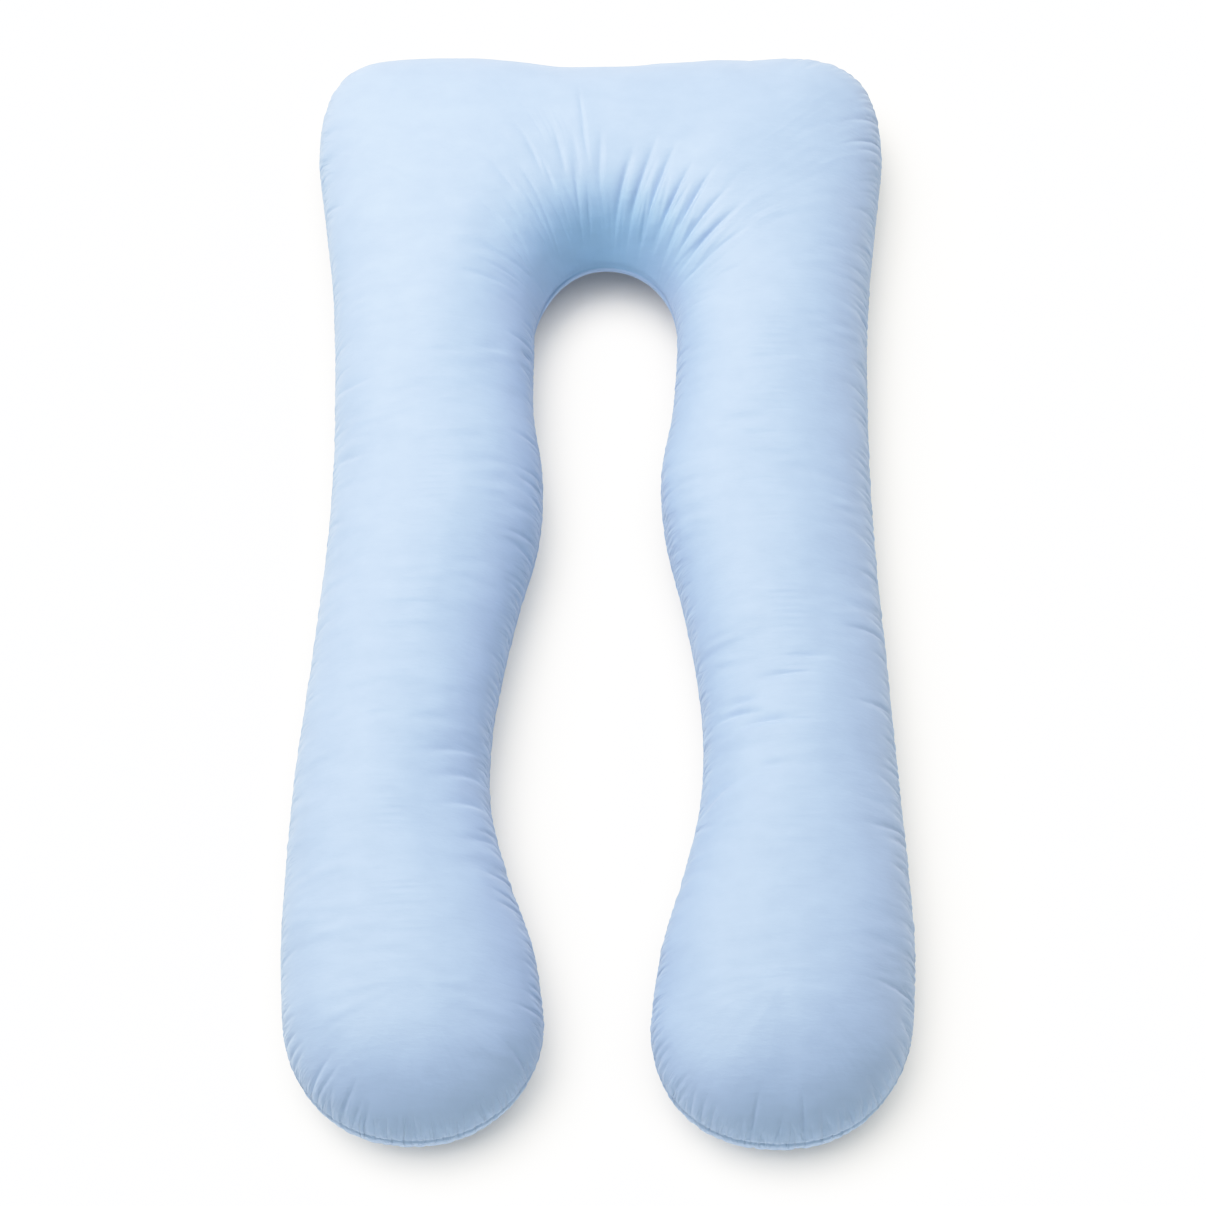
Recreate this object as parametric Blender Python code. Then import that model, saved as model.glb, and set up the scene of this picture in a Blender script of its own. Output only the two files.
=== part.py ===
"""U-shaped body pillow, for lying on the side: two full-length limbs joined by a broad head.

Two panels of one U-shaped outline are sewn together all the way round and filled. The filling
crowns both panels and draws the seam in, so the seam lies in a small groove, the cloth puckers
across it, and folds fan out over the head from the tight curve of the arch.

Units are metres. +X runs across the pillow, +Y from the feet to the head, +Z up, and the pillow
lies on its underside panel, with its box centred over the origin and its flat underside at z = 0.
"""

import math
import random

import bmesh
import bpy
import numpy as np

# Plan of the seam on the two limbs, from the feet up: distances from the middle line, across
# which the filled pillow lies a little unevenly.
LIMB_SECTIONS = (
    # along, left outer, left inner, right inner, right outer
    (-0.75, 0.403, 0.066, 0.060, 0.397),
    (-0.65, 0.401, 0.070, 0.065, 0.396),
    (-0.55, 0.402, 0.084, 0.079, 0.397),
    (-0.45, 0.400, 0.117, 0.107, 0.394),
    (-0.35, 0.396, 0.140, 0.129, 0.388),
    (-0.25, 0.388, 0.140, 0.135, 0.382),
    (-0.15, 0.378, 0.126, 0.127, 0.376),
    (-0.05, 0.369, 0.105, 0.110, 0.370),
    (0.05, 0.361, 0.081, 0.089, 0.365),
    (0.15, 0.357, 0.077, 0.083, 0.362),
    (0.25, 0.357, 0.090, 0.099, 0.362),
    (0.35, 0.360, 0.090, 0.106, 0.364),
    (0.45, 0.366, 0.090, 0.106, 0.370),
    (0.55, 0.377, 0.090, 0.106, 0.380),
    (0.65, 0.388, 0.090, 0.106, 0.390),
    (0.75, 0.397, 0.090, 0.106, 0.398),
)
LEFT_OUTER, LEFT_INNER, RIGHT_INNER, RIGHT_OUTER = 1, 2, 3, 4

FOOT_CENTRE = -0.64  # the spokes of each foot end meet here
FOOT_TIP = -0.819
SHOULDER = 0.38  # the arch and the head start here
ARCH_TOP = 0.489
CORNER_START = 0.655  # the outer side turns into the corner here
CORNER_FLARE = 0.003  # how much further out the corner reaches
HEAD_TOP = 0.824  # seam at the two raised stretches of the head's top edge
HUMP = 0.245  # distance of each raised stretch from the middle
HEAD_DIP = 0.015  # how far the top edge sags between them
HEAD_CROWN = 0.655  # the crown line crosses the head here

# Exponents of the rounded stretches of the outline: 2 is a quarter of an ellipse.
CORNER_SQUARENESS = 2.9
FOOT_SQUARENESS = {LEFT_OUTER: 1.95, LEFT_INNER: 2.05, RIGHT_INNER: 2.3, RIGHT_OUTER: 2.0}
CROWN_LINE_SQUARENESS = 2.2

# Filling along the crown line, which runs from 0 at a foot's centre through 1 at the shoulder
# to 1.5 in the middle of the head.
FILLING = (
    # place, crown above the seam, seam above the underside
    (0.0, 0.104, 0.102),
    (0.3, 0.098, 0.097),
    (0.5, 0.096, 0.094),
    (0.8, 0.098, 0.094),
    (1.0, 0.100, 0.096),
    (1.25, 0.104, 0.098),
    (1.5, 0.100, 0.100),
)
CROWN, DEPTH = 1, 2
SIDE_FULLNESS = 2.15  # exponents of the cross-section: 2 and 2 are an ellipse
CROWN_FULLNESS = 2.1
PRESSED_FLAT = 1.07  # the underside would hang this much deeper with nothing under it

SEAM_DRAWN_IN = 0.006
PUCKER_PITCH = 0.027
ARCH_PITCH = 0.013  # the cloth is gathered twice as finely round the arch
PUCKER_HEIGHT = 0.0024
UNEVENNESS = 0.45  # share by which one pucker or fold differs from the next
SEED = 7

# Folds fanning from the arch, stronger to the right of its top.
ARCH_FOLDS = (
    # degrees right of the arch's top, height
    (-90.0, 0.0),
    (-50.0, 0.0022),
    (-15.0, 0.0036),
    (20.0, 0.0056),
    (50.0, 0.0056),
    (75.0, 0.0022),
    (90.0, 0.0),
)

# Rows of points over each panel, from the seam inwards. A row with no puckers has half as many.
ROWS_ABOVE = (
    # degrees round from the seam, share of the puckers' height, share of the folds' height
    (5.0, 1.0, 0.3),
    (13.0, 0.7, 0.6),
    (24.0, 0.35, 0.9),
    (37.0, 0.0, 1.0),
    (51.0, 0.0, 0.9),
    (65.0, 0.0, 0.55),
    (79.0, 0.0, 0.15),
)
ROWS_BELOW = (
    (5.0, 1.0, 0.3),
    (16.0, 0.5, 0.5),
    (32.0, 0.0, 0.4),
    (50.0, 0.0, 0.0),
    (69.0, 0.0, 0.0),
)
CROWN_POINTS = 96

CLOTH_BLUE = (0.62, 0.76, 0.93, 1.0)
CLOTH_ROUGHNESS = 0.6


def smooth_value(rows, column, place):
    """A column's value at a place, on a smooth curve through the rows."""
    last = len(rows) - 1
    index = min(max(sum(row[0] < place for row in rows) - 1, 0), last - 1)
    start, end = rows[index], rows[index + 1]
    before, after = rows[max(index - 1, 0)], rows[min(index + 2, last)]
    step = end[0] - start[0]
    share = min(max((place - start[0]) / step, 0.0), 1.0)
    slope_in = (end[column] - before[column]) / (end[0] - before[0]) * step
    slope_out = (after[column] - start[column]) / (after[0] - start[0]) * step
    square, cube = share**2, share**3
    return (
        (2 * cube - 3 * square + 1) * start[column]
        + (cube - 2 * square + share) * slope_in
        + (3 * square - 2 * cube) * end[column]
        + (cube - square) * slope_out
    )


def squared_turn(angle, squareness):
    """Cosine and sine of an angle, pushed out from a circle towards a square."""
    cosine, sine = math.cos(angle), math.sin(angle)
    power = 2 / squareness
    return math.copysign(abs(cosine) ** power, cosine), math.copysign(abs(sine) ** power, sine)


def edge_x(edge, along):
    """Where one edge of a limb is, across the pillow."""
    side = -1 if edge in (LEFT_OUTER, LEFT_INNER) else 1
    return side * smooth_value(LIMB_SECTIONS, edge, along)


def crown_line(place):
    """Plan point of the crown line, from 0 at the left foot's centre to 3 at the right's."""
    up_limb = min(place, 3 - place, 1)
    along = FOOT_CENTRE + (SHOULDER - FOOT_CENTRE) * up_limb
    left = (edge_x(LEFT_OUTER, along) + edge_x(LEFT_INNER, along)) / 2
    right = (edge_x(RIGHT_OUTER, along) + edge_x(RIGHT_INNER, along)) / 2
    if place <= 1:
        return left, along
    if place >= 2:
        return right, along
    cosine, sine = squared_turn(math.pi * (2 - place), CROWN_LINE_SQUARENESS)
    return (left + right) / 2 + (right - left) / 2 * cosine, along + (HEAD_CROWN - along) * sine


def limb_stretch(edge, start, end, steps=80):
    """One long edge of a limb, each point level with its place on the crown line."""
    stretch = []
    for step in range(steps + 1):
        along = start + (end - start) * step / steps
        up_limb = (along - FOOT_CENTRE) / (SHOULDER - FOOT_CENTRE)
        place = up_limb if edge in (LEFT_OUTER, LEFT_INNER) else 3 - up_limb
        stretch.append((edge_x(edge, along), along, place, 0.0))
    return stretch


def foot_stretch(right_edge, left_edge, place, steps=60):
    """The rounded end of a limb, from its right edge round to its left edge."""
    right, left = edge_x(right_edge, FOOT_CENTRE), edge_x(left_edge, FOOT_CENTRE)
    stretch = []
    for step in range(steps + 1):
        edge = right_edge if step < steps / 2 else left_edge
        cosine, sine = squared_turn(math.pi * step / steps, FOOT_SQUARENESS[edge])
        across = (left + right) / 2 + (right - left) / 2 * cosine
        stretch.append((across, FOOT_CENTRE + (FOOT_TIP - FOOT_CENTRE) * sine, place, 0.0))
    return stretch


def half_head(edge):
    """The outer edge from a shoulder over its corner to the middle of the head."""
    side = math.copysign(1, edge_x(edge, SHOULDER))
    corner = abs(edge_x(edge, CORNER_START)) + CORNER_FLARE
    points = []
    for step in range(20):
        along = SHOULDER + (CORNER_START - SHOULDER) * step / 20
        points.append((edge_x(edge, along), along))
    for step in range(30):
        cosine, sine = squared_turn(math.pi / 2 * step / 30, CORNER_SQUARENESS)
        across = HUMP + (corner - HUMP) * cosine
        points.append((side * across, CORNER_START + (HEAD_TOP - CORNER_START) * sine))
    for step in range(21):
        across = HUMP * (1 - step / 20)
        sag = HEAD_DIP * (1 + math.cos(math.pi * across / HUMP)) / 2
        points.append((side * across, HEAD_TOP - sag))
    return points


def places_by_length(points, first, last):
    """Places on the crown line for the points, shared out by length from first to last."""
    lengths = [math.dist(start, end) for start, end in zip(points, points[1:])]
    return first + (last - first) * np.cumsum([0.0, *lengths]) / sum(lengths)


def head_stretch():
    """The outer edge from the left shoulder over the head to the right shoulder."""
    points = half_head(LEFT_OUTER) + half_head(RIGHT_OUTER)[-2::-1]
    return [(*point, place, 0.0) for point, place in zip(points, places_by_length(points, 1, 2))]


def arch_stretch(steps=60):
    """The inner edge over the arch, from the right shoulder to the left, with its folds."""
    right, left = edge_x(RIGHT_INNER, SHOULDER), edge_x(LEFT_INNER, SHOULDER)
    points, folds = [], []
    for step in range(steps + 1):
        turn = math.pi * step / steps
        across = (left + right) / 2 + (right - left) / 2 * math.cos(turn)
        points.append((across, SHOULDER + (ARCH_TOP - SHOULDER) * math.sin(turn)))
        folds.append(smooth_value(ARCH_FOLDS, 1, 90 - math.degrees(turn)))
    places = places_by_length(points, 2, 1)
    return [(*point, place, fold) for point, place, fold in zip(points, places, folds)]


class Spoke:
    """Half a cross-section of the pillow, from a point of the seam to the crown line."""

    def __init__(self, across, along, place, pucker, fold):
        self.place = place
        self.centre = np.array(crown_line(place))
        reach = np.array((across, along)) - self.centre
        self.reach = float(np.linalg.norm(reach))
        self.outward = reach / self.reach
        self.crown = smooth_value(FILLING, CROWN, min(place, 3 - place))
        self.depth = smooth_value(FILLING, DEPTH, min(place, 3 - place))
        self.pucker = pucker
        self.fold = fold

    def seam_point(self):
        return (*(self.centre + self.outward * (self.reach - SEAM_DRAWN_IN)), self.depth)

    def panel_point(self, row, up):
        """Point of a panel in one of its rows; up is 1 on the top panel, -1 on the underside."""
        degrees, pucker_share, fold_share = row
        cosine, sine = math.cos(math.radians(degrees)), math.sin(math.radians(degrees))
        relief = self.pucker * pucker_share + self.fold * fold_share
        rise = sine ** (2 / CROWN_FULLNESS)
        height = self.crown * rise if up > 0 else min(self.depth * PRESSED_FLAT * rise, self.depth)
        half = self.crown if up > 0 else self.depth
        normal = np.array((half * cosine, self.reach * sine))
        out, lift = relief * normal / np.linalg.norm(normal)
        out += self.reach * cosine ** (2 / SIDE_FULLNESS)
        return (*(self.centre + self.outward * out), max(self.depth + up * (height + lift), 0.0))


def seam_spokes():
    """Spokes two to a pucker, one on its trough and one on its ridge, all along the seam.

    They run round the left foot's end, up the outer side, over the head and down, round the
    right foot's end, up its inner side, and over the arch and down.
    """
    stretches = (
        (foot_stretch(LEFT_INNER, LEFT_OUTER, 0.0), PUCKER_PITCH),
        (limb_stretch(LEFT_OUTER, FOOT_CENTRE, SHOULDER), PUCKER_PITCH),
        (head_stretch(), PUCKER_PITCH),
        (limb_stretch(RIGHT_OUTER, SHOULDER, FOOT_CENTRE), PUCKER_PITCH),
        (foot_stretch(RIGHT_OUTER, RIGHT_INNER, 3.0), PUCKER_PITCH),
        (limb_stretch(RIGHT_INNER, FOOT_CENTRE, SHOULDER), PUCKER_PITCH),
        (arch_stretch(), ARCH_PITCH),
        (limb_stretch(LEFT_INNER, SHOULDER, FOOT_CENTRE), PUCKER_PITCH),
    )
    points = [stretches[0][0][0]]
    puckers = [0.0]
    for stretch, pitch in stretches:
        for start, end in zip(stretch, stretch[1:]):
            points.append(end)
            puckers.append(puckers[-1] + math.dist(start[:2], end[:2]) / pitch)
    count = 4 * round(puckers[-1] / 2)
    at = np.arange(count) * puckers[-1] / count
    draw = random.Random(SEED)
    spokes = []
    for index, values in enumerate(zip(*(np.interp(at, puckers, column) for column in zip(*points)))):
        across, along, place, fold = values
        uneven = 1 + UNEVENNESS * draw.uniform(-1, 1)
        pucker = PUCKER_HEIGHT * uneven * (1 if index % 2 else -1)
        fold_side = (1, 0, -1, 0)[index % 4]
        spokes.append(Spoke(across, along, place, pucker, fold * uneven * fold_side))
    return spokes


def join_rows(mesh, row, next_row):
    """Faces between two closed rows, the second as fine as the first, twice as fine or half."""
    if len(next_row) < len(row):
        row, next_row = next_row, row
    ratio = len(next_row) // len(row)
    for index, point in enumerate(row):
        following = row[(index + 1) % len(row)]
        fine = [next_row[(ratio * index + step) % len(next_row)] for step in range(ratio + 1)]
        mesh.faces.new((point, fine[0], fine[1]))
        mesh.faces.new((point, fine[1], following))
        if ratio == 2:
            mesh.faces.new((following, fine[1], fine[2]))


def close_over(mesh, row, ends, crown):
    """Faces from a panel's last row to the crown line, which it runs up and back along."""
    for index, point in enumerate(row):
        following = (index + 1) % len(row)
        start, end = ends[index], ends[following]
        between = range(end, start - 1, -1) if end >= start else range(end, start + 1)
        mesh.faces.new((point, row[following], *(crown[k] for k in between)))


def pillow_mesh():
    spokes = seam_spokes()
    mesh = bmesh.new()

    def panel_row(row, up):
        chosen = spokes if row[1] > 0 else spokes[::2]
        return [mesh.verts.new(spoke.panel_point(row, up)) for spoke in chosen]

    rows = [panel_row(row, 1) for row in reversed(ROWS_ABOVE)]
    rows.append([mesh.verts.new(spoke.seam_point()) for spoke in spokes])
    rows.extend(panel_row(row, -1) for row in ROWS_BELOW)
    for row, next_row in zip(rows, rows[1:]):
        join_rows(mesh, row, next_row)

    places = [3 * index / (CROWN_POINTS - 1) for index in range(CROWN_POINTS)]
    crown, resting = [], []
    for place in places:
        height = sum(smooth_value(FILLING, column, min(place, 3 - place)) for column in (CROWN, DEPTH))
        crown.append(mesh.verts.new((*crown_line(place), height)))
        resting.append(mesh.verts.new((*crown_line(place), 0.0)))
    ends = [round(spoke.place / 3 * (CROWN_POINTS - 1)) for spoke in spokes[::2]]
    close_over(mesh, rows[0], ends, crown)
    close_over(mesh, rows[-1], ends, resting)
    bmesh.ops.triangulate(mesh, faces=mesh.faces)
    bmesh.ops.recalc_face_normals(mesh, faces=mesh.faces)
    return mesh


def cloth_material():
    material = bpy.data.materials.new("light_blue_cloth")
    material.use_nodes = True
    shader = material.node_tree.nodes["Principled BSDF"]
    shader.inputs["Base Color"].default_value = CLOTH_BLUE
    shader.inputs["Roughness"].default_value = CLOTH_ROUGHNESS
    shader.inputs["Metallic"].default_value = 0.0
    return material


def build_pillow():
    mesh = pillow_mesh()
    points = np.array([vertex.co for vertex in mesh.verts])
    middle = (points.min(axis=0) + points.max(axis=0)) / 2
    bmesh.ops.translate(mesh, verts=mesh.verts, vec=(-middle[0], -middle[1], 0.0))
    data = bpy.data.meshes.new("pillow")
    mesh.to_mesh(data)
    mesh.free()
    data.materials.append(cloth_material())
    data.shade_smooth()
    pillow = bpy.data.objects.new("pillow", data)
    bpy.context.scene.collection.objects.link(pillow)


for old in list(bpy.data.objects):
    bpy.data.objects.remove(old, do_unlink=True)
build_pillow()
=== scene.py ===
# %% [markdown]
# # A U-shaped body pillow
#
# The real thing is two panels of smooth blue satin, cut to one U-shaped outline, sewn together
# all the way round and filled until they swell. This lesson builds how it looks: the swollen
# form, the drawn-in seam with its puckers, the folds fanning from the arch, the creases on the
# limbs, the cloth itself, and the light it was photographed in. Sizes are in metres. "Across"
# runs from left to right in the picture, and "along" from the feet to the head.

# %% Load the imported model
import math

import bpy
import numpy as np
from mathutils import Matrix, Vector


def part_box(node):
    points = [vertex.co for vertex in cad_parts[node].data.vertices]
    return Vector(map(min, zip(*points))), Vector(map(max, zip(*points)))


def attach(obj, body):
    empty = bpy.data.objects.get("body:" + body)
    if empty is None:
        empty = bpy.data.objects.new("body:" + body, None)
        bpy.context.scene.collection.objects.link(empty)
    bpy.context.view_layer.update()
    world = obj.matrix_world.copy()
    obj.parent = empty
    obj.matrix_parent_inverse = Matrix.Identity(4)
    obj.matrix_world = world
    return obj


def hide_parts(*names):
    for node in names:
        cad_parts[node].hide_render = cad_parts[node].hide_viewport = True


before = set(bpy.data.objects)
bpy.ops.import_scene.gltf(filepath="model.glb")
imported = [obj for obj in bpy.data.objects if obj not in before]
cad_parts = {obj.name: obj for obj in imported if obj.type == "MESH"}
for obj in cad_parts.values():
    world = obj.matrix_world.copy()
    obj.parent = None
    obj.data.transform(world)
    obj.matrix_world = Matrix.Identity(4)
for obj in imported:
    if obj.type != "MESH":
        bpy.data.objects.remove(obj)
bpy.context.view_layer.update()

# %% [markdown]
# ## Camera
#
# The pillow was photographed from the feet side, looking steeply down with a long lens, so
# the limbs hardly converge. A long lens far away gives the same flat perspective.

# %% Camera
CAMERA_ELEVATION = math.radians(60.47)
CAMERA_DISTANCE = 5.886
CAMERA_TARGET = np.array((0.0065, -0.0406, 0.08))
LENS_MM = 132.7
SENSOR_MM = 36.0

looking = np.array((0.0, math.cos(CAMERA_ELEVATION), -math.sin(CAMERA_ELEVATION)))
camera = bpy.data.objects.new("camera", bpy.data.cameras.new("camera"))
camera.data.sensor_width = SENSOR_MM
camera.data.lens = LENS_MM
camera.location = CAMERA_TARGET - CAMERA_DISTANCE * looking
camera.rotation_euler = (math.pi / 2 - CAMERA_ELEVATION, 0.0, 0.0)
bpy.context.scene.collection.objects.link(camera)
bpy.context.scene.camera = camera
print("camera at", [round(x, 3) for x in camera.location])

# %% [markdown]
# ## The seam line, seen from above
#
# Everything on a pillow follows from its seam, so the outline comes first. It could be traced
# as hundreds of points, but a maker draws it with a few widths and some rounded corners. Each
# limb is a table of widths with a smooth curve through them, and the corners, the feet and the
# arch are quarter turns pushed out a little towards a square.

# %% Widths of the limbs
LIMB_SECTIONS = np.array((
    # along, left outer, left inner, right inner, right outer
    (-0.75, 0.392, 0.066, 0.061, 0.387),
    (-0.65, 0.397, 0.070, 0.065, 0.393),
    (-0.55, 0.402, 0.084, 0.079, 0.398),
    (-0.45, 0.400, 0.117, 0.107, 0.394),
    (-0.35, 0.396, 0.140, 0.129, 0.388),
    (-0.25, 0.388, 0.140, 0.135, 0.382),
    (-0.15, 0.378, 0.126, 0.127, 0.376),
    (-0.05, 0.369, 0.105, 0.110, 0.370),
    (0.05, 0.361, 0.081, 0.089, 0.365),
    (0.15, 0.357, 0.077, 0.083, 0.362),
    (0.25, 0.357, 0.090, 0.099, 0.362),
    (0.35, 0.360, 0.090, 0.106, 0.364),
    (0.45, 0.366, 0.090, 0.106, 0.370),
    (0.55, 0.377, 0.090, 0.106, 0.380),
    (0.65, 0.388, 0.090, 0.106, 0.390),
    (0.75, 0.397, 0.090, 0.106, 0.398),
))
LEFT_OUTER, LEFT_INNER, RIGHT_INNER, RIGHT_OUTER = 1, 2, 3, 4


def smooth_curve(rows, column, places):
    """A column's values at many places, on a smooth curve through the table's rows."""
    at, value = rows[:, 0], rows[:, column]
    ahead = np.append(np.arange(1, len(at)), len(at) - 1)
    behind = np.append(0, np.arange(len(at) - 1))
    slope = (value[ahead] - value[behind]) / (at[ahead] - at[behind])
    row = np.clip(np.searchsorted(at, places) - 1, 0, len(at) - 2)
    step = at[row + 1] - at[row]
    share = np.clip((places - at[row]) / step, 0.0, 1.0)
    square, cube = share**2, share**3
    return (
        (2 * cube - 3 * square + 1) * value[row]
        + (cube - 2 * square + share) * slope[row] * step
        + (3 * square - 2 * cube) * value[row + 1]
        + (cube - square) * slope[row + 1] * step
    )


def edge_across(edge, along):
    """How far across a limb's edge lies, at places along the pillow. Left is negative."""
    side = -1 if edge in (LEFT_OUTER, LEFT_INNER) else 1
    return side * smooth_curve(LIMB_SECTIONS, edge, along)


foot_widths = np.diff(LIMB_SECTIONS[0, [LEFT_INNER, LEFT_OUTER]])
print("left foot is", round(float(foot_widths[0]), 3), "wide")

# %% [markdown]
# The crown line is the highest line of the pillow. It runs up the middle of one limb, round
# the head and down the other, and every cross-section of the pillow reaches from it out to the
# seam. Places along it are counted from 0 at the left foot to 3 at the right, with 1 and 2 at
# the shoulders, where the limbs meet the head.

# %% Crown line
FOOT_CENTRE = -0.64
SHOULDER = 0.38
HEAD_CROWN = 0.660
CROWN_LINE_SQUARENESS = 2.2


def squared_turn(angle, squareness):
    """Cosine and sine of angles, pushed out from a circle (2) towards a square (more)."""
    cosine, sine = np.cos(angle), np.sin(angle)
    power = 2 / squareness
    return np.sign(cosine) * abs(cosine) ** power, np.sign(sine) * abs(sine) ** power


def crown_line(place):
    """Points of the crown line in plan, at places from 0 to 3."""
    up_limb = np.minimum(np.minimum(place, 3 - place), 1)
    along = FOOT_CENTRE + (SHOULDER - FOOT_CENTRE) * up_limb
    left = (edge_across(LEFT_OUTER, along) + edge_across(LEFT_INNER, along)) / 2
    right = (edge_across(RIGHT_OUTER, along) + edge_across(RIGHT_INNER, along)) / 2
    cosine, sine = squared_turn(np.pi * (2 - np.clip(place, 1, 2)), CROWN_LINE_SQUARENESS)
    sine = np.where((place > 1) & (place < 2), sine, 0.0)
    across = (left + right) / 2 + (right - left) / 2 * cosine
    return np.stack((across, along + (HEAD_CROWN - along) * sine), axis=-1)


print("crown line passes", crown_line(np.array((0.0, 1.0, 1.5, 2.0, 3.0))).round(3).tolist())

# %% [markdown]
# ## Stretches of the seam
#
# The seam is drawn one stretch at a time, in the order a sewer goes round it. A foot is where
# the outline turns back on itself. Half a circle would be too pointed for a stuffed end, so the
# turn is pushed out towards a square, by its own amount on each side, because no two corners
# fill alike. Its widths still come from the table, so a foot tapers as its limb does.

# %% Long edges and feet
FOOT_TIP = {LEFT_OUTER: -0.811, RIGHT_INNER: -0.815}
FOOT_SQUARENESS = {LEFT_OUTER: 2.20, LEFT_INNER: 2.04, RIGHT_INNER: 2.30, RIGHT_OUTER: 2.15}
EDGE_POINTS = 81
FOOT_POINTS = 121


def limb_stretch(edge, start, end):
    """One long edge of a limb: across, along and place on the crown line."""
    along = np.linspace(start, end, EDGE_POINTS)
    up_limb = (along - FOOT_CENTRE) / (SHOULDER - FOOT_CENTRE)
    place = up_limb if edge in (LEFT_OUTER, LEFT_INNER) else 3 - up_limb
    return np.stack((edge_across(edge, along), along, place), axis=1)


def foot_stretch(right_edge, left_edge, place):
    """The rounded end of a limb, from its right edge round to its left edge."""
    angle = np.linspace(0, np.pi, FOOT_POINTS)
    right_turn = squared_turn(angle, FOOT_SQUARENESS[right_edge])
    left_turn = squared_turn(angle, FOOT_SQUARENESS[left_edge])
    cosine, sine = np.where(angle < np.pi / 2, right_turn, left_turn)
    along = FOOT_CENTRE + (FOOT_TIP[left_edge] - FOOT_CENTRE) * sine
    right, left = edge_across(right_edge, along), edge_across(left_edge, along)
    across = (left + right) / 2 + (right - left) / 2 * cosine
    return np.stack((across, along, np.full(FOOT_POINTS, place)), axis=1)


print("feet end at", list(FOOT_TIP.values()))

# %% [markdown]
# The head is one broad piece with two full corners, the humps, and a shallow dip between them.
# Each corner is a quarter turn that is nearly square, because the filling is pushed well into
# it, and the dip is half a wave. Drawing one half and turning it over gives the other.

# %% Head
CORNER_START = 0.655
CORNER_FLARE = 0.003
CORNER_SQUARENESS = 3.15
HEAD_TOP = 0.826
HUMP = 0.245
HEAD_DIP = 0.016
UPRIGHT_POINTS = 41
CORNER_POINTS = 61
DIP_POINTS = 41


def half_head(edge):
    """The outer edge from a shoulder over its corner to the middle of the head."""
    side = 1 if edge == RIGHT_OUTER else -1
    up = np.linspace(SHOULDER, CORNER_START, UPRIGHT_POINTS)
    flare = CORNER_FLARE * ((up - SHOULDER) / (CORNER_START - SHOULDER)) ** 2
    upright = np.stack((side * edge_across(edge, up) + flare, up), axis=1)[:-1]
    corner = side * edge_across(edge, up[-1:])[0] + CORNER_FLARE
    quarter = np.linspace(0, np.pi / 2, CORNER_POINTS)[:-1]
    cosine, sine = squared_turn(quarter, CORNER_SQUARENESS)
    turn_across = HUMP + (corner - HUMP) * cosine
    turn = np.stack((turn_across, CORNER_START + (HEAD_TOP - CORNER_START) * sine), axis=1)
    inward = np.linspace(HUMP, 0, DIP_POINTS)
    sag = HEAD_DIP * (1 + np.cos(np.pi * inward / HUMP)) / 2
    top = np.stack((inward, HEAD_TOP - sag), axis=1)
    return np.concatenate((upright, turn, top)) * (side, 1)


def with_places(points, first, last):
    """Adds each point's place on the crown line, shared out by length from first to last."""
    steps = np.linalg.norm(np.diff(points, axis=0), axis=1)
    share = np.append(0, np.cumsum(steps)) / steps.sum()
    return np.column_stack((points, first + (last - first) * share))


def head_stretch():
    """The head's outer edge, from the left shoulder to the right one."""
    points = np.concatenate((half_head(LEFT_OUTER), half_head(RIGHT_OUTER)[-2::-1]))
    return with_places(points, 1, 2)


print("head's top is at", HEAD_TOP, "and dips by", HEAD_DIP)

# %% [markdown]
# The arch is the inside of the U, where the seam turns round between the limbs. It is cut as a
# round turn, but the short seam pulls it up into a point, and more so on the left. The sine
# of a half turn, raised to a power above 1, draws such a point.

# %% Arch
ARCH_TOP = 0.488
ARCH_POINTEDNESS = {RIGHT_INNER: 1.12, LEFT_INNER: 1.40}
ARCH_POINTS = 91


def arch_stretch():
    """The inner edge round the arch, from the right limb to the left one."""
    at_shoulder = np.array([SHOULDER])
    right, left = (edge_across(edge, at_shoulder)[0] for edge in (RIGHT_INNER, LEFT_INNER))
    turn = np.linspace(0, np.pi, ARCH_POINTS)
    across = (left + right) / 2 + (right - left) / 2 * np.cos(turn)
    sides = (ARCH_POINTEDNESS[RIGHT_INNER], ARCH_POINTEDNESS[LEFT_INNER])
    pointedness = np.where(turn < np.pi / 2, *sides)
    along = SHOULDER + (ARCH_TOP - SHOULDER) * np.sin(turn) ** pointedness
    return with_places(np.stack((across, along), axis=1), 2, 1)


print("arch's top is at", ARCH_TOP)

# %% [markdown]
# ## Columns
#
# The surface is a net of columns, which run from the seam up to the crown line, and rings,
# which run all the way round. Puckers and folds run along the columns, so the columns lie
# close together: 1.9 mm apart on the seam, and 1 mm round the arch, where they spread out as
# they climb. Their number is a multiple of six, so that every second or third one can be
# taken where a coarser net will do.

# %% Columns along the seam
COLUMN_PITCH = 0.00190
ARCH_COLUMN_PITCH = 0.0010
COLUMN_MULTIPLE = 6

STRETCHES = (
    # name, points, distance between columns
    ("left foot", foot_stretch(LEFT_INNER, LEFT_OUTER, 0.0), COLUMN_PITCH),
    ("left side", limb_stretch(LEFT_OUTER, FOOT_CENTRE, SHOULDER), COLUMN_PITCH),
    ("head", head_stretch(), COLUMN_PITCH),
    ("right side", limb_stretch(RIGHT_OUTER, SHOULDER, FOOT_CENTRE), COLUMN_PITCH),
    ("right foot", foot_stretch(RIGHT_OUTER, RIGHT_INNER, 3.0), COLUMN_PITCH),
    ("right inside", limb_stretch(RIGHT_INNER, FOOT_CENTRE, SHOULDER), COLUMN_PITCH),
    ("arch", arch_stretch(), ARCH_COLUMN_PITCH),
    ("left inside", limb_stretch(LEFT_INNER, SHOULDER, FOOT_CENTRE), COLUMN_PITCH),
)

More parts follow.
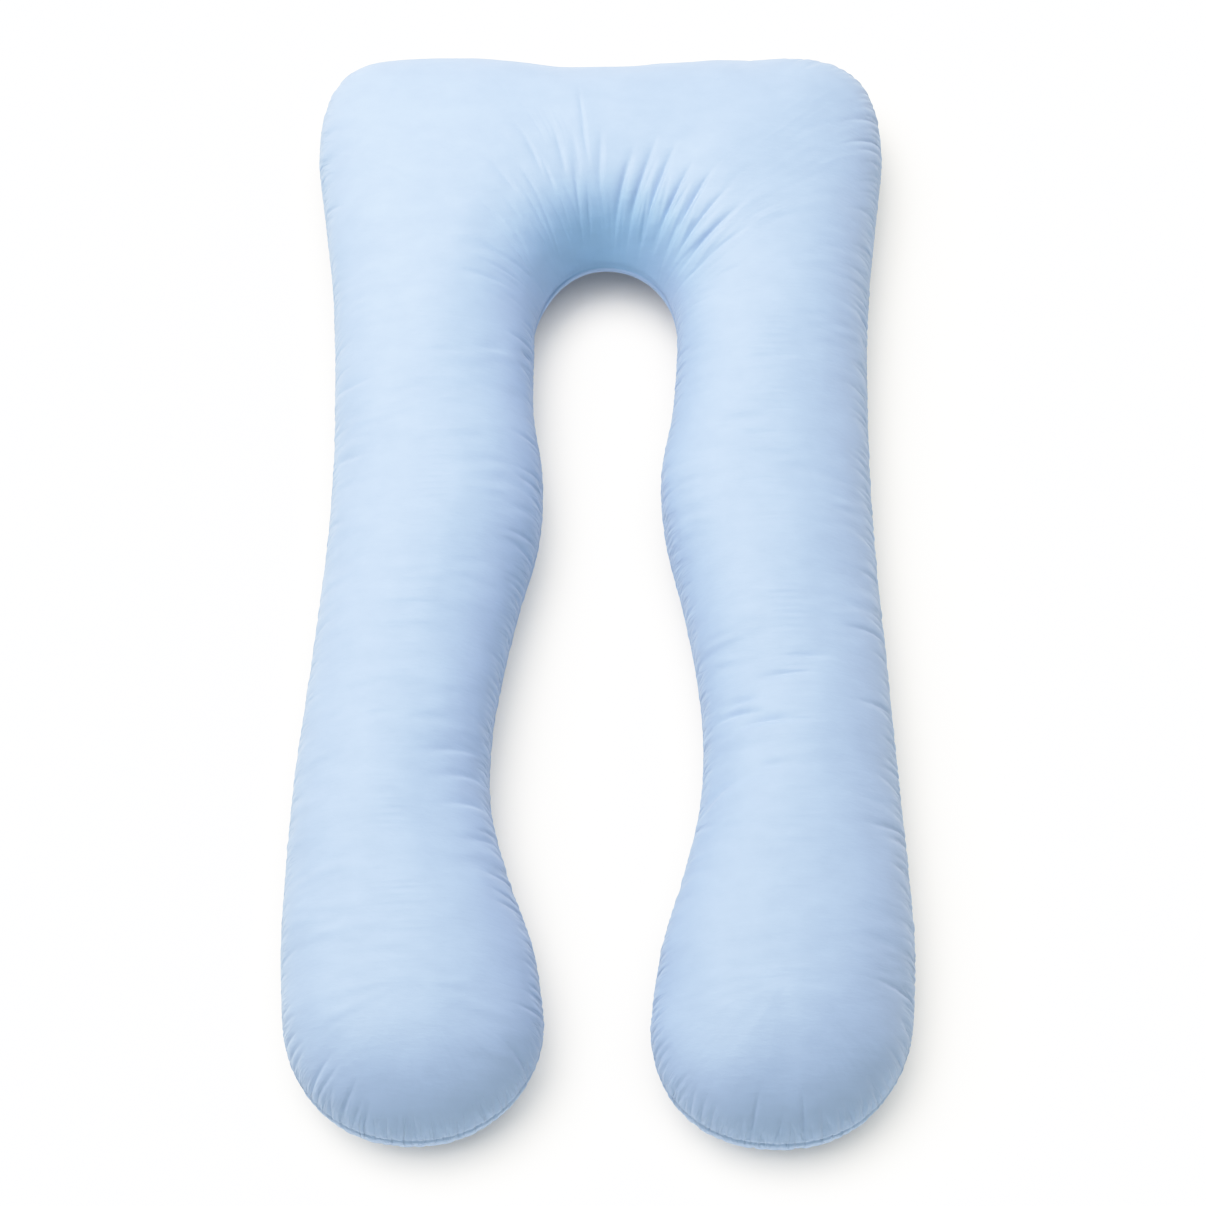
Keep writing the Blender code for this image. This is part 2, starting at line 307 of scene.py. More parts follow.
outline = [STRETCHES[0][1][:1]]
column_count = [np.zeros(1)]
seam_run = [np.zeros(1)]
starts = {}
for name, points, pitch in STRETCHES:
    stretch_run = np.cumsum(np.linalg.norm(np.diff(points[:, :2], axis=0), axis=1))
    starts[name] = (seam_run[-1][-1], seam_run[-1][-1] + stretch_run[-1])
    column_count.append(column_count[-1][-1] + stretch_run / pitch)
    seam_run.append(seam_run[-1][-1] + stretch_run)
    outline.append(points[1:])
outline, column_count, seam_run = (np.concatenate(x) for x in (outline, column_count, seam_run))
SEAM_LENGTH = seam_run[-1]
COLUMNS = COLUMN_MULTIPLE * round(column_count[-1] / COLUMN_MULTIPLE)
at_column = np.arange(COLUMNS) * column_count[-1] / COLUMNS
across, along, place = (np.interp(at_column, column_count, outline[:, k]) for k in range(3))
run = np.interp(at_column, column_count, seam_run)
print(f"seam {SEAM_LENGTH:.2f} m long, {COLUMNS} columns")

# %% [markdown]
# ## Swollen form
#
# A filled cushion is close to an ellipse in section, a little fuller, with its underside
# pressed flat. It could be inflated from flat cloth, but a filling isn't air: it is thinner at
# the waist of the limbs and thicker in the head. So its height is a table, and every column
# climbs a quarter of a squared turn from the seam to the crown line.

# %% Filling
FILLING = np.array((
    # place, crown above the seam, seam above the underside
    (-0.3, 0.098, 0.097),
    (0.0, 0.104, 0.102),
    (0.3, 0.098, 0.097),
    (0.5, 0.096, 0.094),
    (0.8, 0.098, 0.094),
    (1.0, 0.100, 0.096),
    (1.25, 0.104, 0.098),
    (1.5, 0.107, 0.093),
    (1.75, 0.104, 0.098),
))
CROWN, DEPTH = 1, 2

centre = crown_line(place)
reach = np.stack((across, along), axis=1) - centre
reach_length = np.linalg.norm(reach, axis=1)
outward = reach / reach_length[:, None]
crown = smooth_curve(FILLING, CROWN, np.minimum(place, 3 - place))
depth = smooth_curve(FILLING, DEPTH, np.minimum(place, 3 - place))
print("half width", reach_length.min().round(3), "to", reach_length.max().round(3))

# %% [markdown]
# Round the arch the seam is an inside curve, which is short and pulls tight, so the head slopes
# down to it like a roof instead of bulging. The slope starts straight and levels out as it
# nears the crown: rather suddenly on the right, where the cloth is firm, and softly on the left.

# %% Slope down to the arch
ARCH_SLOPE = 1.68
ARCH_SLOPE_FIRMNESS = {RIGHT_INNER: 2.5, LEFT_INNER: 1.6}
LEFT_FROM, LEFT_CHANGE = 0.35, 0.40
ARCH_HOLD = 1.5

arch_start, arch_end = starts["arch"]
into_arch = np.clip((run - arch_start) / (arch_end - arch_start), 0, 1)
by_arch = np.sin(np.pi * into_arch) ** ARCH_HOLD
to_the_left = np.clip((into_arch - LEFT_FROM) / LEFT_CHANGE, 0, 1)
firmness_of_sides = (ARCH_SLOPE_FIRMNESS[RIGHT_INNER], ARCH_SLOPE_FIRMNESS[LEFT_INNER])
firmness = np.interp(to_the_left, (0, 1), firmness_of_sides)


def levelled(straight_rise):
    """A straight slope that levels out as it nears the crown."""
    return straight_rise / (1 + straight_rise**firmness) ** (1 / firmness)


print("the arch holds down", int((by_arch > 0.5).sum()), "columns")

# %% [markdown]
# The rings are laid closer together near the seam than near the crown, because that is where
# the small gathers will be. The underside needs fewer: most of it lies flat on the floor.

# %% Rings from the seam to the crown
SIDE_FULLNESS = 2.15
CROWN_FULLNESS = 2.1
ARCH_CROWDING = 1.35
ARCH_UNDER_SLACKNESS = 0.58
PRESSED_FLAT = 1.07
RINGS_ABOVE = 20
RINGS_BELOW = 8
CROWDING_ABOVE = 1.55
CROWDING_BELOW = 2.0


def panel_rings(count, crowding, up):
    """Rings of points from the seam to the crown line (up 1) or under it (up -1)."""
    share = (np.arange(count) / count)[:, None]
    turn = np.pi / 2 * share**crowding
    slack = ARCH_UNDER_SLACKNESS * by_arch if up < 0 else 0.0
    remaining = np.cos(turn) ** (2 / (SIDE_FULLNESS - slack))
    rise = np.sin(turn) ** (2 / (CROWN_FULLNESS - slack))
    if up > 0:
        from_edge = share**ARCH_CROWDING
        straight_rise = ARCH_SLOPE * from_edge * reach_length / crown
        slope_rise = levelled(straight_rise) / levelled(ARCH_SLOPE * reach_length / crown)
        remaining = remaining * (1 - by_arch) + (1 - from_edge) * by_arch
        rise = rise * (1 - by_arch) + slope_rise * by_arch
        height = depth + crown * rise
    else:
        height = depth - np.minimum(depth * PRESSED_FLAT * rise, depth)
    plan = centre + outward * (reach_length * remaining)[..., None]
    return np.concatenate((plan, height[..., None]), axis=2)


underside = panel_rings(RINGS_BELOW, CROWDING_BELOW, -1)
rings = np.concatenate((underside[:0:-1], panel_rings(RINGS_ABOVE, CROWDING_ABOVE, 1)))
SEAM_RING = RINGS_BELOW - 1
low, high = rings.min(axis=(0, 1)), rings.max(axis=(0, 1))
cad_low, cad_high = (np.array(corner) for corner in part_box("pillow"))
shift = ((cad_low + cad_high) / 2 - (low + high) / 2) * (1, 1, 0)
rings += shift
print("swollen form", (high - low).round(4).tolist())
print("packed solid", (cad_high - cad_low).round(4).tolist())

# %% [markdown]
# ## Slack in the cover
#
# A cover is cut a little larger than its filling, so it gives in soft dents between the seam and
# the crown line. Nobody draws those well by hand, so a cloth simulation finds them. The cloth
# starts on the swollen form, wants to be a little longer each way than it is, and is pushed out
# by the filling. Gravity is off, because the filling carries the cloth. The thread holds one
# edge, and the middle of the pillow the other. Every third column is enough for dents this soft.

# %% Slack cloth
SIM_EVERY = 3
SPARE_CLOTH = 1.008
TOP_CAP, UNDER_CAP = (0, 0.6, 0.2), (0, 0.6, 0)


def slack_sheet(net):
    """The net as an object. Two caps close it, because only a closed cloth can hold a filling."""
    rows, columns = net.shape[:2]
    index = np.arange(rows * columns).reshape(rows, columns)
    after = np.roll(index, -1, axis=1)
    quads = np.stack((index[:-1], after[:-1], after[1:], index[1:]), axis=2)
    top_cap, under_cap = rows * columns, rows * columns + 1
    caps = [(int(a), int(b), top_cap) for a, b in zip(index[-1], after[-1])]
    caps += [(int(b), int(a), under_cap) for a, b in zip(index[0], after[0])]
    corners = np.concatenate((net.reshape(-1, 3), (TOP_CAP, UNDER_CAP)))
    mesh = bpy.data.meshes.new("slack_cloth")
    mesh.from_pydata(corners.tolist(), [], quads.reshape(-1, 4).tolist() + caps)
    sheet = bpy.data.objects.new("slack_cloth", mesh)
    bpy.context.scene.collection.objects.link(sheet)
    sheet.shape_key_add(name="on the filling")
    as_cut = sheet.shape_key_add(name="as cut")
    as_cut.data.foreach_set("co", (corners * SPARE_CLOTH).ravel())
    held = sheet.vertex_groups.new(name="held")
    held.add([*index[0].tolist(), *index[-1].tolist(), top_cap, under_cap], 1.0, "REPLACE")
    return sheet


print("cloth of", RINGS_ABOVE, "rings and", COLUMNS // SIM_EVERY, "columns")

# %% [markdown]
# The settings are those of a light, supple cloth under a low, even pressure. Blender works a
# simulation out frame by frame, so the frames are stepped through in order, and the points of
# the last one are read back.

# %% Settling
CLOTH_SETTINGS = {
    "quality": 5,
    "mass": 0.0005,
    "tension_stiffness": 30,
    "compression_stiffness": 30,
    "shear_stiffness": 10,
    "bending_stiffness": 0.02,
    "tension_damping": 1,
    "compression_damping": 1,
    "shear_damping": 1,
    "bending_damping": 0.1,
    "use_pressure": True,
    "uniform_pressure_force": 0.05,
}
SIM_FRAMES = 20


def settled(net):
    """Where the cloth settles: the net's points after the simulation."""
    sheet = slack_sheet(net)
    modifier = sheet.modifiers.new("cloth", "CLOTH")
    modifier.settings.vertex_group_mass = "held"
    modifier.settings.rest_shape_key = sheet.data.shape_keys.key_blocks["as cut"]
    for setting, value in CLOTH_SETTINGS.items():
        setattr(modifier.settings, setting, value)
    modifier.settings.effector_weights.gravity = 0
    modifier.point_cache.frame_start = 1
    modifier.point_cache.frame_end = SIM_FRAMES
    for frame_number in range(1, SIM_FRAMES + 1):
        bpy.context.scene.frame_set(frame_number)
    done = sheet.evaluated_get(bpy.context.evaluated_depsgraph_get()).to_mesh()
    at = np.empty(len(done.vertices) * 3)
    done.vertices.foreach_get("co", at)
    bpy.data.objects.remove(sheet)
    bpy.context.scene.frame_set(1)
    return at.reshape(-1, 3)[:-2].reshape(net.shape)


print("settling takes", SIM_FRAMES, "frames")

# %% [markdown]
# The pillow in the picture is well filled, so only a part of the slack that the simulation finds
# is kept, and none of it at the seam or at the crown line.

# %% Dents
DENT_SHARE = 0.42
DENT_LIMIT = 0.004
DENT_EASE = 0.5


def onto_all_columns(sparse):
    """Values on every third column, as a smooth curve through all of them."""
    return np.fft.irfft(np.fft.rfft(sparse, axis=1), n=COLUMNS, axis=1) * SIM_EVERY


cloth_net = rings[SEAM_RING:, ::SIM_EVERY]
dents = (settled(cloth_net) - cloth_net) * DENT_SHARE
held_at_ends = np.sin(np.pi * np.arange(RINGS_ABOVE) / (RINGS_ABOVE - 1)) ** DENT_EASE
dents *= held_at_ends[:, None, None]
dent_size = np.linalg.norm(dents, axis=2, keepdims=True)
print("dents:", dent_size.mean().round(4), "m on average, at most", dent_size.max().round(4))
dents *= np.minimum(1.0, DENT_LIMIT / np.maximum(dent_size, 1e-9))
rings[SEAM_RING:] += onto_all_columns(dents)

# %% [markdown]
# ## Relief
#
# The finer forms are relief: a height added along the surface's own direction outwards. It is
# described by two lengths that a sewer would use: how far along the seam, and how far in from
# it. All heights are added up first, and the points move once.

# %% Directions and distances on the surface
def outward_normals(grid):
    """The direction outwards at each point of the net."""
    round_it = np.roll(grid, -1, axis=1) - np.roll(grid, 1, axis=1)
    upward = np.gradient(grid, axis=0)
    normal = np.cross(upward, round_it)
    return normal / np.linalg.norm(normal, axis=2, keepdims=True)


normals = outward_normals(rings)
steps = np.linalg.norm(np.diff(rings, axis=0), axis=2)
from_start = np.concatenate((np.zeros((1, COLUMNS)), np.cumsum(steps, axis=0)))
from_seam = from_start - from_start[SEAM_RING]
inward = abs(from_seam)
is_top = np.arange(len(rings))[:, None] >= SEAM_RING
print("furthest from the seam:", inward.max().round(3))

# %% [markdown]
# ## Seam
#
# The thread pulls the seam in, so it lies at the bottom of a narrow groove with rounded lips.
# The cloth beside it bulges a little, because the filling pushes there and the thread doesn't.

# %% Seam groove
GROOVE_DEPTH = 0.0016
GROOVE_WIDTH = 0.0013
GROOVE_ROUNDNESS = 1.2
SWELL_HEIGHT = 0.0016
SWELL_REACH = 0.040

relief = SWELL_HEIGHT * np.exp(-((inward / SWELL_REACH) ** 2))
groove = np.exp(-((inward / GROOVE_WIDTH) ** GROOVE_ROUNDNESS))
relief -= (GROOVE_DEPTH + SWELL_HEIGHT) * groove
print("groove is", GROOVE_DEPTH * 1000, "mm deep")

# %% [markdown]
# ## Puckers
#
# Swelling shortens the seam, and the cloth beside it has to go somewhere: it gathers into
# valleys that run straight in from the seam, with full rounded cloth between them. Most are
# short. One in a few reaches far in, and widens as its neighbours end. How far apart, how long
# and how deep they are changes from stretch to stretch, so a table gives it for each.

# %% Shape of a pucker
VALLEY_WIDTH = 0.0021
VALLEY_WIDENING = 1.1
VALLEY_ROUNDNESS = 1.15
VALLEY_FADE = 1.1
VALLEY_BELLY = 1.2
VALLEY_COLUMNS = 24
HELD_BY_THREAD = 0.009
panel_parts = {1: slice(SEAM_RING, None), -1: slice(0, SEAM_RING + 1)}


def add_valley(side, seam_place, length, deep, lean, width, held):
    """One pucker: a valley running in from the seam, over one panel."""
    nearby = np.arange(-VALLEY_COLUMNS, VALLEY_COLUMNS + 1)
    near = (nearby + np.searchsorted(run, seam_place)) % COLUMNS
    far = inward[panel_parts[side]][:, near]
    share = far / length
    off = (run[near] - seam_place + SEAM_LENGTH / 2) % SEAM_LENGTH - SEAM_LENGTH / 2
    off = off - lean * far * (1 + share)
    spread = width * (1 + VALLEY_WIDENING * share)
    fading = np.clip(1 - share, 0, None) ** VALLEY_FADE * (1 + VALLEY_BELLY * share)
    fading = fading * (1 - held * np.exp(-far / HELD_BY_THREAD))
    valley = np.exp(-((abs(off) / spread) ** VALLEY_ROUNDNESS))
    relief[panel_parts[side]][:, near] -= deep * fading * valley


print("puckers are", VALLEY_WIDTH * 2000, "mm wide at the seam")

# %% [markdown]
# Sewn gathers are never even. Each pucker's place, length, depth and lean is drawn by chance
# from a fixed seed, so that every run sews the same pillow. Where a value is a range, it is
# a share of the table's own. Short puckers lie between the long ones.

# %% Puckers along the seam
PUCKERS = (
    # stretch, from share, to share, distance apart, length, depth
    ("left foot", 0.00, 1.00, 0.0140, 0.056, 0.0040),
    ("left side", 0.00, 1.00, 0.0115, 0.046, 0.0028),
    ("head", 0.00, 0.26, 0.0115, 0.048, 0.0030),
    ("head", 0.26, 0.62, 0.0140, 0.034, 0.0014),
    ("head", 0.62, 0.70, 0.0140, 0.060, 0.0022),
    ("head", 0.70, 0.76, 0.0130, 0.070, 0.0028),
    ("head", 0.76, 1.00, 0.0130, 0.076, 0.0042),
    ("right side", 0.00, 1.00, 0.0140, 0.072, 0.0044),
    ("right foot", 0.00, 1.00, 0.0140, 0.056, 0.0040),
    ("right inside", 0.00, 1.00, 0.0115, 0.048, 0.0034),
    ("arch", 0.00, 1.00, 0.0120, 0.016, 0.0006),
    ("left inside", 0.00, 1.00, 0.0115, 0.056, 0.0040),
)
LONG_CHANCE = 0.08
LONG_SIZE = 1.5
PLAIN_SIZES = (0.6, 1.1)
GAPS = (0.7, 1.3)
LEAN = 0.06
HELD = 0.8
SHORT_CHANCE = 0.8
SHORT_SIZE = 0.45
SHORT_SIZES = (0.6, 1.3)
SHORT_PLACES = (0.4, 0.6)
SHORT_DEPTH = 0.7
SHORT_WIDTH = VALLEY_WIDTH * 0.8
SHORT_LEAN = 0.1
UNDERSIDE_CALMER = 0.6
draw = np.random.default_rng(11)


def puckers(side, start, end, pitch, length, deep):
    """Puckers along a stretch: each one's place, length, depth, lean, width and hold."""
    at = start + draw.uniform(0, pitch)
    while at < end:
        size = LONG_SIZE if draw.random() < LONG_CHANCE else draw.uniform(*PLAIN_SIZES)
        gap = pitch * draw.uniform(*GAPS)
        strength = deep * (0.5 + 0.5 * min(size, 1.0)) * (1 if side > 0 else UNDERSIDE_CALMER)
        yield at, length * size, strength, draw.normal(0, LEAN), VALLEY_WIDTH, HELD
        if draw.random() < SHORT_CHANCE:
            short = SHORT_SIZE * draw.uniform(*SHORT_SIZES)
            between = at + gap * draw.uniform(*SHORT_PLACES)
            lean = draw.normal(0, SHORT_LEAN)
            yield between, length * short, strength * SHORT_DEPTH, lean, SHORT_WIDTH, HELD
        at += gap


print("stretches with puckers of their own:", len(PUCKERS))

# %% [markdown]
# Crimps are the finest gathers, about 14 mm long, and lie along the thread itself. The stretches
# that are gathered less have shallower ones. One loop then sews every stretch, on both panels.

# %% Crimps, and sewing them all
CRIMP_PITCH = 0.0075
CRIMP_LENGTH = 0.014
CRIMP_DEPTH = 0.0013
CRIMP_GAPS = (0.6, 1.4)
CRIMP_LENGTHS = (0.6, 1.5)
CRIMP_DEPTHS = (0.4, 1.3)
CRIMP_WIDTH = VALLEY_WIDTH * 0.7
CRIMP_LEAN = 0.2
CRIMP_HELD = 0.4
WELL_GATHERED = 0.004


def crimps(start, end, deep):
    """Crimps along a stretch whose puckers are so deep, with the same six values as puckers."""
    at = start
    while at < end:
        strength = CRIMP_DEPTH * draw.uniform(*CRIMP_DEPTHS) * min(deep / WELL_GATHERED, 1)
        long = CRIMP_LENGTH * draw.uniform(*CRIMP_LENGTHS)
        yield at, long, strength, draw.normal(0, CRIMP_LEAN), CRIMP_WIDTH, CRIMP_HELD
        at += CRIMP_PITCH * draw.uniform(*CRIMP_GAPS)


gather_count = 0
for name, first_share, last_share, pitch, length, deep in PUCKERS:
    shares = (first_share, last_share)
    start, end = (starts[name][0] + share * np.ptp(starts[name]) for share in shares)
    for side in (1, -1):
        gathers = [*puckers(side, start, end, pitch, length, deep), *crimps(start, end, deep)]
        for gather in gathers:
            add_valley(side, *gather)
        gather_count += len(gathers)
print(gather_count, "puckers and crimps")

# %% [markdown]
# ## Folds and creases placed one by one
#
# Round the tight arch the cloth is pressed together, and folds fan out from it over the head.
# A few creases lie across the limbs, where they have been bent. The eye knows each of these, so
# they are placed one by one. Each is a valley, with a gentle wall to the left of the way it
# runs and a steep wall to the right, which faces the light.

# %% Folds round the arch and creases on the limbs
FOLDS = (
    # start across, start along, end across, end along, bend, width, depth
    # round the arch
    (0.128, 0.428, 0.196, 0.476, 0.001, 0.0028, 0.0036),
    (0.122, 0.446, 0.168, 0.480, 0.001, 0.0020, 0.0022),
    (0.116, 0.444, 0.184, 0.506, 0.001, 0.0032, 0.0056),
    (0.114, 0.466, 0.160, 0.508, 0.001, 0.0020, 0.0024),
    (0.108, 0.462, 0.168, 0.532, 0.001, 0.0031, 0.0056),
    (0.098, 0.474, 0.150, 0.562, 0.001, 0.0036, 0.0070),
    (0.086, 0.492, 0.122, 0.548, 0.001, 0.0022, 0.0034),
    (0.080, 0.488, 0.122, 0.572, 0.001, 0.0032, 0.0060),
    (0.062, 0.500, 0.100, 0.600, 0.001, 0.0037, 0.0066),
    (0.052, 0.524, 0.078, 0.588, 0.001, 0.0022, 0.0032),
    (0.042, 0.508, 0.076, 0.612, 0.001, 0.0035, 0.0056),
    (0.022, 0.516, 0.047, 0.600, 0.001, 0.0036, 0.0046),
    (0.003, 0.560, 0.006, 0.632, 0.001, 0.0040, 0.0030),
    (-0.014, 0.600, -0.024, 0.706, 0.002, 0.0024, 0.0024),
    (-0.026, 0.566, -0.034, 0.628, -0.002, 0.0034, 0.0020),
    (-0.046, 0.576, -0.060, 0.640, -0.002, 0.0032, 0.0026),
    (-0.060, 0.548, -0.078, 0.592, -0.002, 0.0026, 0.0020),
    (-0.078, 0.572, -0.098, 0.624, -0.002, 0.0030, 0.0022),
    (-0.082, 0.536, -0.104, 0.574, -0.002, 0.0028, 0.0022),
    (-0.112, 0.540, -0.142, 0.580, -0.002, 0.0032, 0.0020),
    (-0.104, 0.500, -0.128, 0.530, -0.002, 0.0028, 0.0017),
    (-0.122, 0.486, -0.162, 0.522, -0.002, 0.0032, 0.0016),
    # left limb
    (-0.217, 0.284, -0.177, 0.283, 0.002, 0.0045, 0.0018),
    (-0.158, 0.294, -0.128, 0.299, 0.002, 0.0045, 0.0020),
    (-0.353, 0.254, -0.304, 0.252, -0.004, 0.0045, 0.0024),
    (-0.354, 0.154, -0.316, 0.137, -0.004, 0.0045, 0.0024),
    (-0.221, -0.320, -0.151, -0.303, 0.003, 0.0055, 0.0028),
    (-0.205, -0.354, -0.147, -0.337, 0.003, 0.0050, 0.0026),
    (-0.196, -0.392, -0.139, -0.380, 0.003, 0.0055, 0.0028),
    (-0.164, -0.438, -0.122, -0.427, 0.003, 0.0050, 0.0024),
    # right limb
    (0.199, 0.270, 0.273, 0.277, 0.003, 0.0045, 0.0020),
    (0.220, 0.195, 0.260, 0.192, 0.002, 0.0045, 0.0018),
    (0.157, 0.179, 0.198, 0.176, 0.002, 0.0045, 0.0022),
    (0.243, -0.192, 0.292, -0.179, 0.004, 0.0045, 0.0046),
    (0.203, -0.214, 0.257, -0.207, 0.004, 0.0045, 0.0044),
    (0.162, -0.245, 0.200, -0.238, 0.003, 0.0045, 0.0046),
    (0.155, -0.257, 0.200, -0.260, 0.003, 0.0040, 0.0044),
    (0.181, -0.277, 0.250, -0.277, 0.004, 0.0045, 0.0056),
    (0.203, -0.342, 0.235, -0.340, 0.002, 0.0045, 0.0034),
    (0.136, -0.380, 0.172, -0.354, 0.003, 0.0045, 0.0042),
)
GENTLE_WALL, STEEP_WALL = 1.7, 0.75
FOLD_ROUNDNESS = 1.4
FOLD_OVERRUN = 0.15
FOLD_FADE = 1.2
FOLDS_ABOVE = 0.10


def fold_field(points, rows):
    """Depth of all the folds at the points, which are seen in plan."""
    total = np.zeros(points.shape[:-1])
    for x0, y0, x1, y1, bend, width, deep in rows:
        start, end = np.array((x0, y0)), np.array((x1, y1))
        length = np.linalg.norm(end - start)
        direction = (end - start) / length
        offset = points[..., :2] - start
        t = offset @ direction / length
        across_fold = offset @ np.array((direction[1], -direction[0]))
        across_fold = across_fold + bend * 4 * t * (1 - t)
        on_fold = np.clip((t + FOLD_OVERRUN) / (1 + 2 * FOLD_OVERRUN), 0, 1)
        is_near = (t > -FOLD_OVERRUN) & (t < 1 + FOLD_OVERRUN)
        fading = np.where(is_near, np.sin(np.pi * on_fold) ** FOLD_FADE, 0)
        wall = np.where(across_fold < 0, GENTLE_WALL, STEEP_WALL) * width
        total += deep * fading * np.exp(-((abs(across_fold) / wall) ** FOLD_ROUNDNESS))
    return total


may_fold = is_top & (rings[..., 2] > FOLDS_ABOVE)
relief -= np.where(may_fold, fold_field(rings, FOLDS), 0.0)
print(len(FOLDS), "folds and creases")

# %% [markdown]
# Between and beyond the folds, faint streaks run up from the arch over the head. Nobody could
# tell one from another, so they are drawn by chance, one in each equal share of the arch.

# %% Streaks above the arch
ARCH_STREAKS = 46
STREAK_PLACES = (0.2, 0.8)
STREAK_MIDDLES = (0.075, 0.125)
STREAK_LENGTHS = (0.020, 0.045)
STREAK_DEPTHS = (0.0006, 0.0022)
STREAK_WIDTHS = (0.0012, 0.0020)
STREAK_LEAN = 0.10
STREAK_ROUNDNESS = 1.4
STREAK_MARGIN = 0.03

within = (run >= arch_start - STREAK_MARGIN) & (run <= arch_end + STREAK_MARGIN)
arch_near = np.flatnonzero(within)
streak_shares = np.arange(ARCH_STREAKS) + draw.uniform(*STREAK_PLACES, ARCH_STREAKS)
for share in streak_shares / ARCH_STREAKS:
    middle_place = arch_start + share * (arch_end - arch_start)
    from_arch = draw.uniform(*STREAK_MIDDLES)
    ranges = (STREAK_LENGTHS, STREAK_DEPTHS, STREAK_WIDTHS)
    long, deep, width = (draw.uniform(*values) for values in ranges)
    lean = draw.normal(0, STREAK_LEAN)
    far = from_seam[:, arch_near] - from_arch
    off = run[arch_near] - middle_place - lean * far
    streak = deep * np.exp(-((far / long) ** 2) - (abs(off) / width) ** STREAK_ROUNDNESS)
    relief[:, arch_near] -= np.where(is_top, streak, 0.0)
print(ARCH_STREAKS, "streaks over", len(arch_near), "columns")

# %% [markdown]
# ## Uneven filling, slack cloth
#
# Loose fibre filling is never even, so the cloth over it rises and falls softly. The limbs
# also carry faint wrinkles across them, in patches, from being folded and packed. Both are sums
# of many small waves, which never repeat.

# %% Soft lumps and faint wrinkles
LUMPS = {"count": 40, "longest": 0.22, "shortest": 0.07, "sideways": 1.0, "height": 0.0022}
PATCHES = {"count": 20, "longest": 0.3, "shortest": 0.12, "sideways": 1.0, "height": 1.0}
WRINKLES = {"count": 60, "longest": 0.045, "shortest": 0.014, "sideways": 0.25, "height": 0.0008}
PATCH_CONTRAST = 2
CALM_BY_SEAM = 0.05


def step_smoothly(value, start, end):
    """0 before start, 1 after end, and a soft step between them."""
    share = np.clip((value - start) / (end - start), 0.0, 1.0)
    return share * share * (3 - 2 * share)


def many_waves(points, count, longest, shortest, sideways, height):
    """A sum of waves that run mostly along the limbs, where sideways (0 to 1) lets them turn."""
    total = np.zeros(points.shape[:-1])
    for _ in range(count):
        length = np.exp(draw.uniform(np.log(shortest), np.log(longest)))
        tilt = sideways * draw.uniform(-np.pi / 2, np.pi / 2)
        direction = np.array((np.sin(tilt), np.cos(tilt))) * 2 * np.pi / length
        phase = draw.uniform(0, 2 * np.pi)
        total += np.sin(points[..., :2] @ direction + phase) * length / longest
    return height * total / math.sqrt(count)


slack = np.where(is_top, step_smoothly(inward, 0.0, CALM_BY_SEAM), 0.0)
relief += slack * many_waves(rings, **LUMPS)
patches = 0.5 + 0.5 * np.tanh(PATCH_CONTRAST * many_waves(rings, **PATCHES))
relief += slack * patches * many_waves(rings, **WRINKLES)
print("relief from", relief.min().round(4), "to", relief.max().round(4))

# %% [markdown]
# ## One closed mesh
#
# The net becomes a mesh. The top panel and the first rings under the seam need every column,
# for the puckers. The rest of the underside, which lies flat, makes do with half of them. The
# last ring on each side is closed over to the crown line, which it runs up and back along.

# %% Points of the cover
CROWN_POINTS = 960
FULL_RINGS_BELOW = 2
FLOOR_CALM, FLOOR_FREE = 0.004, 0.03

off_floor = step_smoothly(rings[..., 2], FLOOR_CALM, FLOOR_FREE)
surface = rings + normals * (relief * np.where(is_top, 1.0, off_floor))[..., None]
surface[..., 2] = np.maximum(surface[..., 2], 0.0)

crown_places = np.linspace(0, 3, CROWN_POINTS)
crown_plan = crown_line(crown_places) + shift[:2]
from_foot = np.minimum(crown_places, 3 - crown_places)
crown_height = sum(smooth_curve(FILLING, column, from_foot) for column in (CROWN, DEPTH))
last_heights = surface[-1, :, 2] - rings[-1, :, 2]
crown_order = np.argsort(place)
crown_height += np.interp(crown_places, place[crown_order], last_heights[crown_order])
crown_top = np.column_stack((crown_plan, crown_height))
crown_under = np.column_stack((crown_plan, np.zeros(CROWN_POINTS)))
column_step = [1 if ring >= SEAM_RING - FULL_RINGS_BELOW else 2 for ring in range(len(rings))]


def as_mesh_points(grid, top_line, under_line):
    """Values on the net and on the crown line, in the order of the mesh's points."""
    rows = [ring[::step] for ring, step in zip(grid, column_step)]
    return np.concatenate((*rows, top_line, under_line))


points = as_mesh_points(surface, crown_top, crown_under)
print(len(points), "points, the highest at", points[:, 2].max().round(4))

# %% [markdown]
# Faces are made from the points' numbers. Two rings are bridged by four-sided faces, or by
# triangles where one ring has half of the other's points. A face that closes a ring over takes
# in all the points of the crown line that it passes.

# %% Faces of the cover
ring_ends = np.cumsum([COLUMNS // step for step in column_step])
ring_index = [np.arange(end - COLUMNS // step, end) for end, step in zip(ring_ends, column_step)]
top_index = np.arange(CROWN_POINTS) + ring_ends[-1]
under_index = top_index + CROWN_POINTS


def bridge(lower, upper):
    """Faces between two rings, of which one may have half the other's points."""
    if len(lower) == len(upper):
        return np.stack((lower, np.roll(lower, -1), np.roll(upper, -1), upper), axis=1).tolist()
    coarse, fine = sorted((lower, upper), key=len)
    after, first, second, third = np.roll(coarse, -1), fine[::2], fine[1::2], np.roll(fine, -2)[::2]
    corners = np.array(((coarse, second, first), (coarse, after, second), (after, third, second)))
    corners = corners if coarse is lower else corners[:, ::-1]
    return corners.transpose(0, 2, 1).reshape(-1, 3).tolist()


